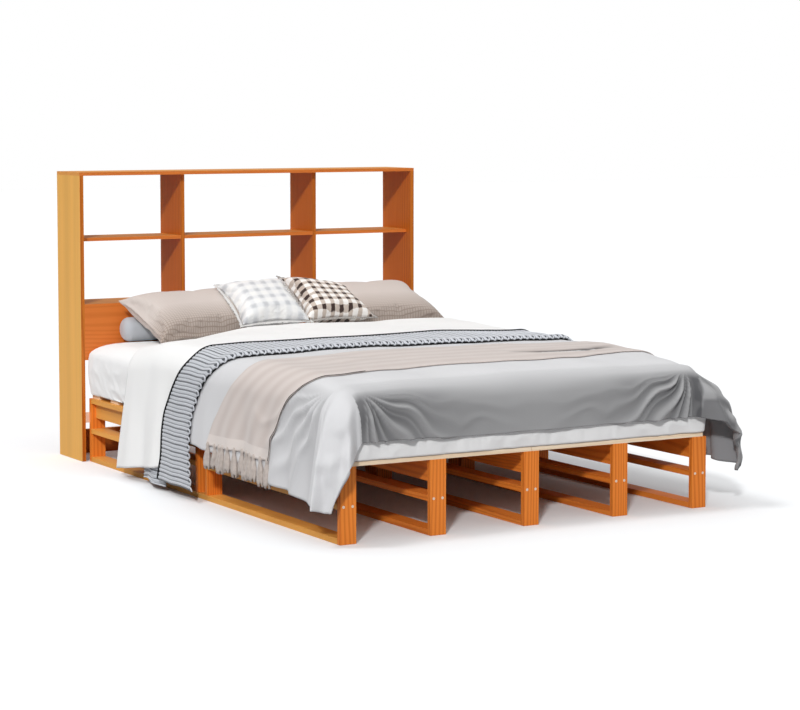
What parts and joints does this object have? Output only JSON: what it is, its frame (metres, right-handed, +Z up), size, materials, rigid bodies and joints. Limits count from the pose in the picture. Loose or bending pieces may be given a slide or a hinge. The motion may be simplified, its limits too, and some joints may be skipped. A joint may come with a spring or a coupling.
{
  "type": "bookcase headboard bed",
  "caption": "Slatted double bed on lengthwise board leg frames, with an open-backed bookcase headboard, made up with mattress, duvet, quilt, throws, pillows and cushions.",
  "frame": {"origin": "on the floor under the middle of the slatted base, on the underside of the centre leg frame's bottom rail", "axes": "+X across the bed, towards the right seen from the foot; +Y along the bed towards the headboard; +Z up"},
  "size_m": [1.6059, 2.2563, 1.1],
  "materials": {
    "waxed_pine": "satin",
    "bare_pine": "matte",
    "beech_dowel": "matte",
    "zinc_steel": "satin",
    "woven_tape": "matte",
    "white_sheeting": "matte",
    "white_cotton": "matte",
    "grey_cotton": "matte",
    "grey_blue_knit": "matte",
    "beige_weave": "matte",
    "taupe_linen": "matte",
    "grey_blue_cotton": "matte",
    "patterned_cotton": "matte",
    "checked_cotton": "matte"
  },
  "bodies": {
    "root": {"angle_brackets": "zinc_steel", "bolster": "grey_blue_cotton", "checked_cushion": "checked_cotton", "cross_board": "waxed_pine", "cross_web": "waxed_pine", "divider_left": "waxed_pine", "divider_right": "waxed_pine", "dowels": "beech_dowel", "duvet": "grey_cotton", "floor_stretcher": "waxed_pine", "frame_1_bottom_rail": "waxed_pine", "frame_1_end_posts": "waxed_pine", "frame_1_mid_posts": "waxed_pine", "frame_1_middle_rails": "waxed_pine", "frame_1_top_rails": "waxed_pine", "frame_1_top_webs": "waxed_pine", "frame_2_bottom_rail": "waxed_pine", "frame_2_end_posts": "waxed_pine", "frame_2_mid_posts": "waxed_pine", "frame_2_middle_rails": "waxed_pine", "frame_2_top_rails": "waxed_pine", "frame_2_top_webs": "waxed_pine", "frame_3_bottom_rail": "waxed_pine", "frame_3_end_posts": "waxed_pine", "frame_3_mid_posts": "waxed_pine", "frame_3_middle_rails": "waxed_pine", "frame_3_top_rails": "waxed_pine", "frame_3_top_webs": "waxed_pine", "frame_4_bottom_rail": "waxed_pine", "frame_4_end_posts": "waxed_pine", "frame_4_mid_posts": "waxed_pine", "frame_4_middle_rails": "waxed_pine", "frame_4_top_rails": "waxed_pine", "frame_4_top_webs": "waxed_pine", "frame_5_bottom_rail": "waxed_pine", "frame_5_end_posts": "waxed_pine", "frame_5_mid_posts": "waxed_pine", "frame_5_middle_rails": "waxed_pine", "frame_5_top_rails": "waxed_pine", "frame_5_top_webs": "waxed_pine", "frame_screws": "zinc_steel", "fringed_throw": "beige_weave", "front_panel": "waxed_pine", "knit_throw": "grey_blue_knit", "lower_shelf": "waxed_pine", "mattress": "white_sheeting", "patterned_cushion": "patterned_cotton", "pillow_left": "taupe_linen", "pillow_right": "taupe_linen", "short_screws": "zinc_steel", "side_panel_left": "waxed_pine", "side_panel_right": "waxed_pine", "slat_roll_left": "bare_pine", "slat_roll_right": "bare_pine", "slat_tapes": "woven_tape", "top_board": "waxed_pine", "upper_shelf_left": "waxed_pine", "upper_shelf_middle": "waxed_pine", "upper_shelf_right": "waxed_pine", "white_quilt": "white_cotton"}
  },
  "joints": []
}
